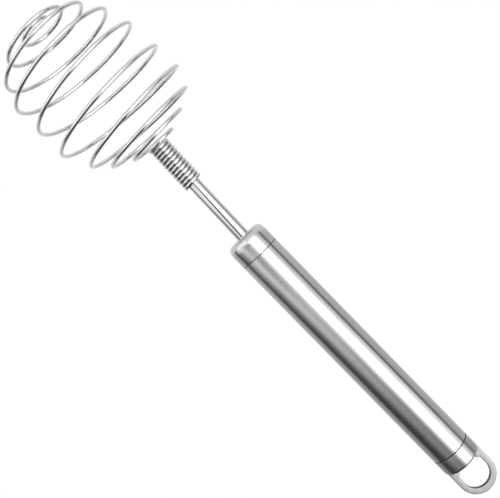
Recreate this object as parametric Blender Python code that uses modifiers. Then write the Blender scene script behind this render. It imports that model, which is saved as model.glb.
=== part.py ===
"""Spring ball whisk of stainless steel: a tube handle with a hanging loop, a plain rod, and one wire
wound close round the rod's end and then open into a springy ball.

Metres, +Z up. The whisk hangs from its loop with the ball down: its long axis is Z, and the origin is
the top of the loop's eye, where a hook bears. The loop lies flat in the XZ plane.
"""

from math import asin, cos, floor, pi, radians, sin

import bmesh
import bpy
from mathutils import Matrix, Vector

# Hanging loop: a flat strap bent to a D, just inside the cap's side, with a tenon under each foot.
LOOP_INSET = 0.00015
LOOP_REACH = 0.01785
LOOP_BAND = 0.0030
LOOP_THICKNESS = 0.0022
LOOP_FOOT_FLARE = 0.0010
LOOP_FOOT_HEIGHT = 0.0015
LOOP_EDGE = 0.0003
TENON_WIDTH = 0.0016
TENON_LENGTH = 0.0026

# Handle: a tube between two turned caps.
HANDLE_DIAMETER = 0.0190
TUBE_LENGTH = 0.1207
TUBE_WALL = 0.0008
SEAM_CHAMFER = 0.00015
END_CAP_LENGTH = 0.00835
END_CAP_RIM = 0.0009
END_WALL = 0.0036
END_SPIGOT_LENGTH = 0.0060
FRONT_CAP_LENGTH = 0.0105
FRONT_CAP_ROUND = 0.0030
FRONT_WALL = 0.0045
FRONT_SPIGOT_LENGTH = 0.0070
SPIGOT_WALL = 0.0024

# Rod, with the washer and nut that hold its tang inside the front cap.
ROD_DIAMETER = 0.0060
ROD_SHOWING = 0.0309
ROD_SINK = 0.0015
ROD_CHAMFER = 0.0004
TANG_DIAMETER = 0.0040
TANG_PAST_NUT = 0.0012
WASHER_DIAMETER = 0.0090
WASHER_THICKNESS = 0.0010
NUT_ACROSS_FLATS = 0.0070
NUT_THICKNESS = 0.0032
NUT_EDGE = 0.0003

# The wire: tip curl, ball and neck, wound right-handed from the tip up.
WIRE_DIAMETER = 0.0018
NECK_LENGTH = 0.0235
NECK_TURN_GAP = 0.00041
BALL_DIAMETER = 0.0656
BALL_HEIGHT = 0.0732
BALL_FULLNESS = 2.26
BALL_TURNS = 9.85
BALL_CLOSER_ENDS = 0.117
TIP_START_RADIUS = 0.0022
TIP_TURNS = 1.85

# Clearances: faces that seat, round pieces that fit, the neck on its rod, the wire's sections.
SEAT_GAP = 0.0003
FIT_CLEARANCE = 0.0002
NECK_CLEARANCE = 0.00005
WIRE_GAP = 0.0003

# Facets.
TURNED_STEPS = 48
SMALL_STEPS = 32
FILLET_STEPS = 5
LOOP_BEND_STEPS = 20
BALL_POINTS_PER_TURN = 24
NECK_POINTS_PER_TURN = 10

# Heights of the main planes, from the loop's eye down.
CAP_FACE_Z = LOOP_BAND - LOOP_REACH
END_SEAM_Z = CAP_FACE_Z - END_CAP_LENGTH
FRONT_SEAM_Z = END_SEAM_Z - TUBE_LENGTH
FRONT_FACE_Z = FRONT_SEAM_Z - FRONT_CAP_LENGTH
NECK_TOP_Z = FRONT_FACE_Z - ROD_SHOWING
NECK_BOTTOM_Z = NECK_TOP_Z - NECK_LENGTH
WASHER_Z = FRONT_FACE_Z + FRONT_WALL + SEAT_GAP
NUT_Z = WASHER_Z + WASHER_THICKNESS + SEAT_GAP

# Radii that several pieces share.
HANDLE_RADIUS = HANDLE_DIAMETER / 2
TUBE_BORE_RADIUS = HANDLE_RADIUS - TUBE_WALL
SPIGOT_RADIUS = TUBE_BORE_RADIUS - FIT_CLEARANCE
SPIGOT_BORE_RADIUS = SPIGOT_RADIUS - SPIGOT_WALL
LOOP_WIDTH = HANDLE_DIAMETER - 2 * LOOP_INSET
LEG_X = (LOOP_WIDTH - LOOP_BAND) / 2
TANG_HOLE_RADIUS = TANG_DIAMETER / 2 + FIT_CLEARANCE
WIRE_RADIUS = WIRE_DIAMETER / 2

# The wire's winding. Chords between the neck's points pass nearer the rod than the points do.
NECK_RADIUS = (ROD_DIAMETER / 2 + NECK_CLEARANCE + WIRE_RADIUS) / cos(pi / NECK_POINTS_PER_TURN)
NECK_RISE = NECK_LENGTH - WIRE_DIAMETER
NECK_TURNS = floor(NECK_RISE / (WIRE_DIAMETER + NECK_TURN_GAP))
BALL_RADIUS = BALL_DIAMETER / 2 - WIRE_RADIUS
TIP_CUT_TURN = TIP_TURNS - BALL_TURNS


def start_collections():
    """An empty scene with one collection for the whisk's pieces and one for cutters."""
    for old in list(bpy.data.objects):
        bpy.data.objects.remove(old, do_unlink=True)
    pieces = bpy.data.collections.new("spring_ball_whisk")
    cutters = bpy.data.collections.new("cutters")
    bpy.context.scene.collection.children.link(pieces)
    bpy.context.scene.collection.children.link(cutters)
    cutters.hide_render = True
    return pieces, cutters


PIECES, CUTTERS = start_collections()


def steel(name, colour, roughness):
    """A stainless steel finish."""
    material = bpy.data.materials.new(name)
    material.use_nodes = True
    shader = material.node_tree.nodes["Principled BSDF"]
    shader.inputs["Base Color"].default_value = (*colour, 1.0)
    shader.inputs["Metallic"].default_value = 1.0
    shader.inputs["Roughness"].default_value = roughness
    return material


def add_piece(name, mesh, material, z=0.0):
    """Puts a mesh in the scene as one named piece."""
    mesh.materials.clear()
    mesh.materials.append(material)
    piece = bpy.data.objects.new(name, mesh)
    piece.location.z = z
    PIECES.objects.link(piece)
    return piece


def evaluated_mesh(piece):
    """A new mesh of what an object evaluates to, in its own coordinates."""
    bpy.context.view_layer.update()
    graph = bpy.context.evaluated_depsgraph_get()
    return bpy.data.meshes.new_from_object(piece.evaluated_get(graph))


def settle(piece):
    """Makes a piece's modifiers real, and shades it smooth between its sharp edges."""
    mesh = evaluated_mesh(piece)
    mesh.name = piece.name
    piece.modifiers.clear()
    piece.data = mesh
    mesh.shade_smooth()
    mesh.set_sharp_from_angle(angle=radians(35))
    return piece


def cut(piece, name, mesh, location):
    """Takes a mesh's shape out of a piece, and keeps the cutter in its own collection."""
    cutter = bpy.data.objects.new(name, mesh)
    cutter.location = location
    cutter.hide_render = True
    cutter.display_type = "WIRE"
    CUTTERS.objects.link(cutter)
    boolean = piece.modifiers.new(name, "BOOLEAN")
    boolean.operation = "DIFFERENCE"
    boolean.solver = "EXACT"
    boolean.object = cutter


def arc(centre, radius, start_angle, end_angle, steps):
    """Points along an arc in a plane, both ends included; angles in degrees."""
    points = []
    for i in range(steps + 1):
        angle = radians(start_angle + (end_angle - start_angle) * i / steps)
        points.append((centre[0] + radius * cos(angle), centre[1] + radius * sin(angle)))
    return points


def turned(name, profile, z, material, closed=True, steps=TURNED_STEPS):
    """A piece turned about Z from a profile of (r, z) points that runs down its outer side."""
    mesh = bpy.data.meshes.new(name)
    edges = [(i, i + 1) for i in range(len(profile) - 1)]
    if closed:
        edges.append((len(profile) - 1, 0))
    mesh.from_pydata([(r, 0, height) for r, height in profile], edges, [])
    piece = add_piece(name, mesh, material, z)
    screw = piece.modifiers.new("turn", "SCREW")
    screw.axis = "Z"
    screw.angle = 2 * pi
    screw.steps = screw.render_steps = steps
    screw.use_merge_vertices = True
    screw.merge_threshold = 0.000001
    return piece


def box_mesh(size):
    """A box about its own centre."""
    mesh = bpy.data.meshes.new("box")
    shape = bmesh.new()
    bmesh.ops.create_cube(shape, size=1.0)
    bmesh.ops.scale(shape, vec=size, verts=shape.verts)
    shape.to_mesh(mesh)
    shape.free()
    return mesh


def prism_mesh(sides, radius, bottom, top):
    """An upright prism or cylinder between two heights."""
    mesh = bpy.data.meshes.new("prism")
    shape = bmesh.new()
    bmesh.ops.create_cone(
        shape, cap_ends=True, segments=sides, radius1=radius, radius2=radius, depth=top - bottom
    )
    bmesh.ops.translate(shape, vec=(0, 0, (top + bottom) / 2), verts=shape.verts)
    shape.to_mesh(mesh)
    shape.free()
    return mesh


def mesh_from_curve(name, curve, turn):
    """The closed mesh of a curve, turned into place, with its caps welded on."""
    guide = bpy.data.objects.new(name + "_guide", curve)
    guide.matrix_world = turn
    PIECES.objects.link(guide)
    mesh = evaluated_mesh(guide)
    mesh.name = name
    mesh.transform(guide.matrix_world)
    bpy.data.objects.remove(guide, do_unlink=True)
    shape = bmesh.new()
    shape.from_mesh(mesh)
    bmesh.ops.remove_doubles(shape, verts=shape.verts, dist=0.000001)
    bmesh.ops.dissolve_limit(
        shape, angle_limit=radians(0.1), verts=shape.verts, edges=shape.edges
    )
    shape.to_mesh(mesh)
    shape.free()
    return mesh


# Handle


def make_handle_tube(material):
    """A plain drawn tube whose ends stop short of the caps, which is the seam that shows."""
    top = -SEAT_GAP / 2
    bottom = SEAT_GAP / 2 - TUBE_LENGTH
    profile = [
        (HANDLE_RADIUS - SEAM_CHAMFER, top),
        (HANDLE_RADIUS, top - SEAM_CHAMFER),
        (HANDLE_RADIUS, bottom + SEAM_CHAMFER),
        (HANDLE_RADIUS - SEAM_CHAMFER, bottom),
        (TUBE_BORE_RADIUS, bottom),
        (TUBE_BORE_RADIUS, top),
    ]
    return settle(turned("handle_tube", profile, END_SEAM_Z, material))


def make_front_cap(material):
    """A turned cap with a rounded front edge, whose spigot goes up into the tube.

    The rod's shoulder sinks into its face, and the tang goes on through the wall to the nut.
    """
    top = -SEAT_GAP / 2
    face = -FRONT_CAP_LENGTH
    sink_radius = ROD_DIAMETER / 2 + FIT_CLEARANCE
    round_centre = (HANDLE_RADIUS - FRONT_CAP_ROUND, face + FRONT_CAP_ROUND)
    profile = [
        (SPIGOT_RADIUS - SEAM_CHAMFER, FRONT_SPIGOT_LENGTH),
        (SPIGOT_RADIUS, FRONT_SPIGOT_LENGTH - SEAM_CHAMFER),
        (SPIGOT_RADIUS, top),
        (HANDLE_RADIUS - SEAM_CHAMFER, top),
        (HANDLE_RADIUS, top - SEAM_CHAMFER),
        *arc(round_centre, FRONT_CAP_ROUND, 0, -90, FILLET_STEPS),
        (sink_radius, face),
        (sink_radius, face + ROD_SINK),
        (TANG_HOLE_RADIUS, face + ROD_SINK),
        (TANG_HOLE_RADIUS, face + FRONT_WALL),
        (SPIGOT_BORE_RADIUS, face + FRONT_WALL),
        (SPIGOT_BORE_RADIUS, FRONT_SPIGOT_LENGTH),
    ]
    return settle(turned("front_cap", profile, FRONT_SEAM_Z, material))


def make_end_cap(material):
    """A turned cap with a small rounded rim, a spigot down into the tube, and the loop's slots."""
    bottom = SEAT_GAP / 2
    face = END_CAP_LENGTH
    rim_centre = (HANDLE_RADIUS - END_CAP_RIM, face - END_CAP_RIM)
    profile = [
        (0, face),
        *arc(rim_centre, END_CAP_RIM, 90, 0, FILLET_STEPS),
        (HANDLE_RADIUS, bottom + SEAM_CHAMFER),
        (HANDLE_RADIUS - SEAM_CHAMFER, bottom),
        (SPIGOT_RADIUS, bottom),
        (SPIGOT_RADIUS, SEAM_CHAMFER - END_SPIGOT_LENGTH),
        (SPIGOT_RADIUS - SEAM_CHAMFER, -END_SPIGOT_LENGTH),
        (SPIGOT_BORE_RADIUS, -END_SPIGOT_LENGTH),
        (SPIGOT_BORE_RADIUS, face - END_WALL),
        (0, face - END_WALL),
    ]
    cap = turned("end_cap", profile, END_SEAM_Z, material, closed=False)
    slot_size = (
        TENON_WIDTH + 2 * FIT_CLEARANCE,
        LOOP_THICKNESS + 2 * FIT_CLEARANCE,
        2 * (TENON_LENGTH + SEAT_GAP),
    )
    for side, name in ((-1, "left_slot"), (1, "right_slot")):
        cut(cap, name, box_mesh(slot_size), (side * LEG_X, 0, CAP_FACE_Z))
    return settle(cap)


# Hanging loop


def half_loop_outline():
    """The loop's right half as (x, z), from the top of its outer bend down to the foot and its
    tenon, and up the inner side to the top of the eye."""
    outer_radius = LOOP_WIDTH / 2
    inner_radius = outer_radius - LOOP_BAND
    bend_centre = (0, LOOP_BAND - outer_radius)
    foot_z = CAP_FACE_Z + SEAT_GAP
    tenon_z = CAP_FACE_Z - TENON_LENGTH
    return [
        *arc(bend_centre, outer_radius, 90, 0, LOOP_BEND_STEPS),
        (outer_radius, foot_z),
        (LEG_X + TENON_WIDTH / 2, foot_z),
        (LEG_X + TENON_WIDTH / 2, tenon_z),
        (LEG_X - TENON_WIDTH / 2, tenon_z),
        (LEG_X - TENON_WIDTH / 2, foot_z),
        (inner_radius - LOOP_FOOT_FLARE, foot_z),
        (inner_radius, foot_z + LOOP_FOOT_HEIGHT),
        *arc(bend_centre, inner_radius, 0, 90, LOOP_BEND_STEPS),
    ]


def make_hanging_loop(material):
    """The strap as a flat outline given its thickness, with its edges broken."""
    right = half_loop_outline()
    left = [(-x, z) for x, z in reversed(right[1:-1])]
    outline = right + left
    curve = bpy.data.curves.new("hanging_loop", "CURVE")
    curve.dimensions = "2D"
    curve.fill_mode = "BOTH"
    curve.extrude = LOOP_THICKNESS / 2
    spline = curve.splines.new("POLY")
    spline.points.add(len(outline) - 1)
    for point, (x, z) in zip(spline.points, outline):
        point.co = (x, z, 0, 1)
    spline.use_cyclic_u = True
    mesh = mesh_from_curve("hanging_loop", curve, Matrix.Rotation(radians(90), 4, "X"))
    loop = add_piece("hanging_loop", mesh, material)
    bevel = loop.modifiers.new("broken edges", "BEVEL")
    bevel.width = LOOP_EDGE
    bevel.segments = 2
    bevel.limit_method = "ANGLE"
    bevel.angle_limit = radians(50)
    return settle(loop)


# Rod and its fixing


def make_shaft_rod(material):
    """The rod from the neck's lower end up to its shoulder in the front cap, and on as its tang."""
    radius = ROD_DIAMETER / 2
    tang_radius = TANG_DIAMETER / 2
    tang_top = NUT_Z + NUT_THICKNESS + TANG_PAST_NUT - FRONT_FACE_Z
    shoulder = ROD_SINK - SEAT_GAP
    bottom = NECK_BOTTOM_Z - FRONT_FACE_Z
    profile = [
        (0, tang_top),
        (tang_radius - ROD_CHAMFER, tang_top),
        (tang_radius, tang_top - ROD_CHAMFER),
        (tang_radius, shoulder),
        (radius, shoulder),
        (radius, bottom + ROD_CHAMFER),
        (radius - ROD_CHAMFER, bottom),
        (0, bottom),
    ]
    rod = turned("shaft_rod", profile, FRONT_FACE_Z, material, closed=False, steps=SMALL_STEPS)
    return settle(rod)


def make_tang_washer(material):
    """A plain washer on the front cap's inner face."""
    profile = [
        (WASHER_DIAMETER / 2, WASHER_THICKNESS),
        (WASHER_DIAMETER / 2, 0),
        (TANG_HOLE_RADIUS, 0),
        (TANG_HOLE_RADIUS, WASHER_THICKNESS),
    ]
    return settle(turned("tang_washer", profile, WASHER_Z, material, steps=SMALL_STEPS))


def make_tang_nut(material):
    """A hexagon nut on the tang, drawing the rod's shoulder into the cap."""
    corner_radius = NUT_ACROSS_FLATS / 2 / cos(pi / 6)
    nut = add_piece("tang_nut", prism_mesh(6, corner_radius, 0, NUT_THICKNESS), material, NUT_Z)
    bevel = nut.modifiers.new("edges", "BEVEL")
    bevel.width = NUT_EDGE
    bevel.segments = 1
    bevel.limit_method = "ANGLE"
    bevel.angle_limit = radians(70)
    bore = prism_mesh(SMALL_STEPS, TANG_HOLE_RADIUS, -NUT_THICKNESS, 2 * NUT_THICKNESS)
    cut(nut, "nut_bore", bore, (0, 0, NUT_Z))
    return settle(nut)


# The wire


def ball_point(share):
    """(radius, z) of the wire's centre line in the ball: share is 0 at the tip, 1 at the neck.

    The ball is a little fuller than a ball of revolution, and its turns lie closer near both ends.
    """
    power = 2 / BALL_FULLNESS
    tip_angle = asin((TIP_START_RADIUS / BALL_RADIUS) ** (1 / power))
    neck_angle = pi - asin((NECK_RADIUS / BALL_RADIUS) ** (1 / power))
    eased = share - BALL_CLOSER_ENDS * sin(2 * pi * share) / (2 * pi)
    angle = tip_angle + (neck_angle - tip_angle) * eased

    def height(at):
        side = 1 if cos(at) > 0 else -1
        return -BALL_HEIGHT / 2 * side * abs(cos(at)) ** power

    neck_z = NECK_BOTTOM_Z + WIRE_RADIUS
    return BALL_RADIUS * sin(angle) ** power, neck_z + height(angle) - height(neck_angle)


def wire_point(turn):
    """The wire's centre line at a turn, counted up from 0 where the neck starts."""
    if turn < 0:
        radius, z = ball_point(1 + turn / BALL_TURNS)
    else:
        radius = NECK_RADIUS
        z = NECK_BOTTOM_Z + WIRE_RADIUS + NECK_RISE * turn / NECK_TURNS
    return Vector((radius * cos(2 * pi * turn), radius * sin(2 * pi * turn), z))


def section_end(turn, side, joined):
    """The points with which a section ends. side is 1 at its lower end, -1 at its upper.

    Where it meets the next section it runs straight for one diameter, square to that one's end.
    """
    centre = wire_point(turn)
    if not joined:
        return [centre]
    step = 0.002
    along = (wire_point(turn + step) - wire_point(turn - step)).normalized() * side
    return [centre + along * (WIRE_GAP / 2), centre + along * (WIRE_GAP / 2 + WIRE_DIAMETER)]


def section_points(start, end, per_turn, joined_start, joined_end):
    """Points along one section of the wire, evenly round each turn between its ends."""
    first = section_end(start, 1, joined_start)
    last = section_end(end, -1, joined_end)[::-1]

    def crowds(turn, point, end_turn, end_points, end_place):
        """Whether a point lies on an end's own stretch, or within half a diameter of it."""
        stretch = (len(end_points) - 0.5) * WIRE_DIAMETER
        return abs(turn - end_turn) < 0.5 and (point - end_place).length < stretch

    middle = []
    for i in range(floor(start * per_turn) + 1, floor(end * per_turn) + 1):
        turn = i / per_turn
        point = wire_point(turn)
        at_first = crowds(turn, point, start, first, first[0])
        at_last = crowds(turn, point, end, last, last[-1])
        if not at_first and not at_last:
            middle.append(point)
    return first + middle + last


def least_gap(points):
    """How near the wire comes to itself, surface to surface, between points over 3 diameters apart
    along it."""
    lengths = [0.0]
    for before, after in zip(points, points[1:]):
        lengths.append(lengths[-1] + (after - before).length)
    least = BALL_HEIGHT
    for i, point in enumerate(points):
        for j in range(i + 1, len(points)):
            if lengths[j] - lengths[i] > 3 * WIRE_DIAMETER:
                least = min(least, (points[j] - point).length - WIRE_DIAMETER)
    return least


def make_wire_section(name, points, material):
    """One unbroken round wire through the points."""
    curve = bpy.data.curves.new(name, "CURVE")
    curve.dimensions = "3D"
    curve.bevel_depth = WIRE_RADIUS
    curve.bevel_resolution = 1
    curve.use_fill_caps = True
    spline = curve.splines.new("POLY")
    spline.points.add(len(points) - 1)
    for point, place in zip(spline.points, points):
        point.co = (*place, 1)
    mesh = mesh_from_curve(name, curve, Matrix.Identity(4))
    print(f"{name}: {len(points)} points, least gap to itself {least_gap(points) * 1000:.2f} mm")
    return settle(add_piece(name, mesh, material))


def make_wire(material):
    """The tip curl, the ball and the neck: one wire on the real whisk, in three sections."""
    ball = BALL_POINTS_PER_TURN
    tip = section_points(-BALL_TURNS, TIP_CUT_TURN, ball, False, True)
    middle = section_points(TIP_CUT_TURN, 0, ball, True, True)
    neck = section_points(0, NECK_TURNS, NECK_POINTS_PER_TURN, True, False)
    make_wire_section("tip_curl", tip, material)
    make_wire_section("ball_coil", middle, material)
    make_wire_section("neck_coil", neck, material)


def main():
    brushed = steel("brushed steel", (0.62, 0.62, 0.61), 0.30)
    polished = steel("polished steel", (0.72, 0.72, 0.71), 0.12)
    plain = steel("plain steel", (0.50, 0.50, 0.50), 0.40)
    make_handle_tube(brushed)
    make_front_cap(brushed)
    make_end_cap(brushed)
    make_hanging_loop(polished)
    make_shaft_rod(polished)
    make_tang_washer(plain)
    make_tang_nut(plain)
    make_wire(polished)


main()
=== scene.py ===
# %% [markdown]
# Spring ball whisk
#
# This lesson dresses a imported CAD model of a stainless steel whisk, and sets it in a studio. The
# whisk is a tube handle with a hanging loop at one end and a thin rod at the other. One long wire
# is wound close round the rod's end, opens into a ball, and ends in a small curl.
#
# Everything is in metres. The whisk's long axis is Z with the ball down, and the origin is the top
# of the loop's eye, where a hook bears. The loop lies flat in the XZ plane, and the picture looks
# along +Y.

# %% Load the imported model
from math import asin, cos, floor, pi, radians, sin

import bmesh
import bpy
from mathutils import Matrix, Vector


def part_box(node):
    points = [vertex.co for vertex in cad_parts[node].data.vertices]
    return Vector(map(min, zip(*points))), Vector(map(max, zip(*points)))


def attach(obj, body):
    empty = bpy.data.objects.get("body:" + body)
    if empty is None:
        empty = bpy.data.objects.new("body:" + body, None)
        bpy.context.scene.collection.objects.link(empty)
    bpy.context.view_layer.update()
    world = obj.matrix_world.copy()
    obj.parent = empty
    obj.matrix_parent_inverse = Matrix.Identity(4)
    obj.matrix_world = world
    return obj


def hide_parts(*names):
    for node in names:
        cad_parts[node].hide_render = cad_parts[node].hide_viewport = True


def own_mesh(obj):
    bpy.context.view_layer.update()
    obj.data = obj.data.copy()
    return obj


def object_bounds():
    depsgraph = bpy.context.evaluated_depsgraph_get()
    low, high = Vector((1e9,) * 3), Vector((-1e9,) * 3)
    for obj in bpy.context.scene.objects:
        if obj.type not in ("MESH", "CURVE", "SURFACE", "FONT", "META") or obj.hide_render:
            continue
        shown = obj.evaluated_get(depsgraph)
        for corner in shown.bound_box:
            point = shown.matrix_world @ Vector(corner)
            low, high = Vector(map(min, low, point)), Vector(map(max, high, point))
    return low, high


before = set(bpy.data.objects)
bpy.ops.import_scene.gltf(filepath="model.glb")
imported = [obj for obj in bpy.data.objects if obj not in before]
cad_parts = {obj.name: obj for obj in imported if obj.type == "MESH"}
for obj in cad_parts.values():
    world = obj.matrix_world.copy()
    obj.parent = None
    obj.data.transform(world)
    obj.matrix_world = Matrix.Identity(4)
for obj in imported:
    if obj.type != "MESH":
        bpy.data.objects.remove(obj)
cad_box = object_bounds()
print("CAD box from", tuple(cad_box[0]), "to", tuple(cad_box[1]))

# %% [markdown]
# The sizes of the pieces come from the CAD nodes themselves. Each node's box gives the planes
# where one piece ends and the next begins, and the radii of the turned pieces. Reading them here
# keeps every new piece seated on its neighbours if the model changes.

# %% Planes and radii from the model
def box_size(node):
    """Lowest corner, highest corner and size of a CAD node."""
    low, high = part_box(node)
    return low, high, high - low


tube_low, tube_high, tube_size = box_size("handle_tube")
front_low, front_high, _ = box_size("front_cap")
end_low, end_high, _ = box_size("end_cap")
_, loop_high, loop_size = box_size("hanging_loop")
rod_low, rod_high, rod_size = box_size("shaft_rod")
_, neck_high, _ = box_size("neck_coil")

handle_radius = tube_size.x / 2
rod_radius = rod_size.x / 2
front_face_z = front_low.z
end_face_z = end_high.z
print("handle diameter", round(handle_radius * 2000, 2), "mm")
print("front face at", round(front_face_z * 1000, 2), "mm")
print("end face at", round(end_face_z * 1000, 2), "mm")

# %% [markdown]
# The camera stands where the photograph was taken from: square to the whisk, about 38 cm away,
# level with the top of the rod and tilted up a little, and turned so that the whisk lies from the
# upper left to the lower right. It could stay upright with the whisk turned before it, but then
# every piece would have to be placed in a slanting frame. The camera's three directions are worked
# out from two angles and put into one matrix.

# %% Camera
CAMERA_PLACE = Vector((0.00168, -0.3761, -0.1690))
CAMERA_TILT = radians(3.17)
CAMERA_ROLL = radians(45.6)
LENS = 62.17

along_whisk = Vector((0, -sin(CAMERA_TILT), cos(CAMERA_TILT)))
across_whisk = Vector((1, 0, 0))
view_right = cos(CAMERA_ROLL) * along_whisk - sin(CAMERA_ROLL) * across_whisk
view_up = -sin(CAMERA_ROLL) * along_whisk - cos(CAMERA_ROLL) * across_whisk
view_back = view_right.cross(view_up)


def new_object(name, data):
    """A new object, linked into the scene."""
    made = bpy.data.objects.new(name, data)
    bpy.context.scene.collection.objects.link(made)
    return made


camera_data = bpy.data.cameras.new("camera")
camera_data.sensor_width = 36
camera_data.lens = LENS
camera_data.clip_start = 0.01
camera = new_object("camera", camera_data)
camera.matrix_world = (
    Matrix.Translation(CAMERA_PLACE)
    @ Matrix((view_right, view_up, view_back)).transposed().to_4x4()
)
bpy.context.scene.camera = camera
print("camera looks along", tuple(round(x, 3) for x in -view_back))

# %% [markdown]
# Metal shows its surroundings, so the studio matters as much as the steel. The whisk hangs in a
# pale room that only the steel sees. The camera sees plain white: Light Path tells which kind of
# ray asks. The room could be a wrapped picture, but as numbers each dark line on the steel can be
# traced to a card and moved.
#
# A direction's azimuth is 0 straight at the camera's side and positive to the right. The room is
# six rings of greys by azimuth, one above the other, each going over into the next. It is white in
# front, light grey behind, and dark at the right side and overhead. Black cards stand at the left
# and near the middle, as a photographer sets them, to draw thin dark lines along the handle and
# the wire. One card more leans, and draws the slanting dark line along the rod.

# %% Helpers for shader nodes
def add_node(tree, kind, **values):
    """A shader node with some of its properties set."""
    node = tree.nodes.new(kind)
    for key, value in values.items():
        setattr(node, key, value)
    return node


def math_node(tree, operation, first, second=0):
    """One sum on two sockets or numbers; some sums need only the first."""
    node = add_node(tree, "ShaderNodeMath", operation=operation)
    for socket, value in zip(node.inputs, (first, second)):
        if isinstance(value, (int, float)):
            socket.default_value = value
        else:
            tree.links.new(value, socket)
    return node.outputs[0]


def range_node(tree, value, low, high, start=0.3, end=0.7):
    """Moves a value from one range into another and holds it there. Noise keeps to 0.3 to 0.7."""
    node = add_node(tree, "ShaderNodeMapRange")
    node.inputs["From Min"].default_value = start
    node.inputs["From Max"].default_value = end
    node.inputs["To Min"].default_value = low
    node.inputs["To Max"].default_value = high
    tree.links.new(value, node.inputs["Value"])
    return node.outputs["Result"]


def mix_node(tree, factor, first, second, blend="MIX"):
    """A mix of two colours, each a socket or a plain grey."""
    node = add_node(tree, "ShaderNodeMixRGB", blend_type=blend)
    for socket, value in zip(node.inputs, (factor, first, second)):
        if not isinstance(value, (int, float)):
            tree.links.new(value, socket)
        elif socket.type == "VALUE":
            socket.default_value = value
        else:
            socket.default_value = (value, value, value, 1)
    return node.outputs["Color"]


def grey_ramp(tree, value, stops):
    """A ramp of greys by azimuth in degrees."""
    node = add_node(tree, "ShaderNodeValToRGB")
    elements = node.color_ramp.elements
    while len(elements) < len(stops):
        elements.new(1.0)
    for element, (azimuth, grey) in zip(elements, stops):
        element.position = (azimuth + 180) / 360
        element.color = (grey, grey, grey, 1)
    tree.links.new(value, node.inputs["Fac"])
    return node.outputs["Color"]


def object_place(tree):
    """The point's place on the object, whole and as x, y and z."""
    place = add_node(tree, "ShaderNodeTexCoord").outputs["Object"]
    parts = add_node(tree, "ShaderNodeSeparateXYZ")
    tree.links.new(place, parts.inputs[0])
    return place, *parts.outputs


def distance_node(tree, place, origin):
    """How far a place is from an origin."""
    node = add_node(tree, "ShaderNodeVectorMath", operation="DISTANCE")
    node.inputs[1].default_value = origin
    tree.links.new(place, node.inputs[0])
    return node.outputs["Value"]


print("a ring's greys run from azimuth -180 to 180")

# %% World
# Each ring is a list of azimuths, in degrees, and greys.
ROOM_BELOW = [
    (-180, 0.84), (-150, 0.84), (-100, 0.84), (-77, 0.76), (-66, 0.66), (-58, 0.70), (-48, 1.00),
    (-40, 1.15), (30, 1.15), (60, 1.05), (84, 0.98), (93, 0.60), (98, 0.10), (104, 0.10),
    (109, 0.60), (116, 0.84), (180, 0.84),
]
ROOM_LOW = [
    (-180, 0.84), (-150, 0.80), (-100, 0.72), (-90, 0.50), (-86, 0.14), (-78, 0.14), (-74, 0.60),
    (-60, 0.80), (-50, 1.05), (5, 1.05), (10, 0.60), (14, 0.08), (40, 0.08), (45, 0.80),
    (50, 1.00), (66, 0.98), (80, 0.80), (90, 0.45), (96, 0.08), (103, 0.08), (110, 0.50),
    (120, 0.72), (150, 0.80), (180, 0.84),
]
ROOM_ROD = [
    (-180, 0.84), (-150, 0.78), (-100, 0.70), (-90, 0.50), (-86, 0.14), (-78, 0.14), (-74, 0.60),
    (-60, 0.85), (-50, 1.08), (4, 1.08), (40, 1.10), (60, 1.06), (80, 0.78), (90, 0.42), (96, 0.08),
    (103, 0.08), (110, 0.46), (125, 0.66), (150, 0.76), (180, 0.84),
]
ROOM_LEVEL = [
    (-180, 0.84), (-160, 0.68), (-130, 0.58), (-100, 0.58), (-90, 0.50), (-86, 0.17), (-77, 0.17),
    (-73, 0.58), (-58, 0.92), (-48, 1.15), (2, 1.10), (7, 0.95), (9, 0.60), (12, 0.82),
    (22, 0.82), (27, 0.92), (36, 0.98), (50, 0.88), (64, 0.46), (78, 0.16), (92, 0.09),
    (102, 0.08), (110, 0.42), (128, 0.56), (160, 0.68), (180, 0.84),
]
ROOM_UPPER = [
    (-180, 0.80), (-160, 0.64), (-130, 0.56), (-100, 0.50), (-90, 0.40), (-86, 0.12), (-77, 0.12),
    (-73, 0.66), (-66, 1.00), (-58, 1.20), (-48, 1.25), (0, 1.10), (5, 0.90), (11, 0.42),
    (16, 0.29), (42, 0.31), (60, 0.14), (76, 0.05), (98, 0.06), (112, 0.34), (134, 0.42),
    (160, 0.60), (180, 0.80),
]
ROOM_CEILING = [
    (-180, 0.50), (-100, 0.40), (-70, 0.60), (-55, 0.95), (-8, 0.90), (6, 0.04), (130, 0.04),
    (160, 0.35), (180, 0.50),
]
# The rings from the bottom up, each with its height over the horizon in degrees.
ROOM_HEIGHTS = [
    (-13, ROOM_BELOW),
    (-6, ROOM_LOW),
    (-2.5, ROOM_ROD),
    (4, ROOM_LEVEL),
    (20, ROOM_UPPER),
    (50, ROOM_CEILING),
]

# The leaning card, in degrees. For each degree up it moves aside by CARD_LEAN. Its edges fade out.
CARD_AZIMUTH = 19
CARD_LEAN = 5.2
CARD_HALF_WIDTH = 9
CARD_EDGE = 5
CARD_HALF_HEIGHT = 2.8
CARD_FADED_HEIGHT = 4.3
CARD_GREY = 0.04


def room_walls(tree, turn, height):
    """The rings of the room, each going over into the next one up."""
    below, ring = ROOM_HEIGHTS[0]
    walls = grey_ramp(tree, turn, ring)
    for above, ring in ROOM_HEIGHTS[1:]:
        rise = range_node(tree, height, 0, 1, sin(radians(below)), sin(radians(above)))
        walls = mix_node(tree, rise, walls, grey_ramp(tree, turn, ring))
        below = above
    return walls


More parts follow.
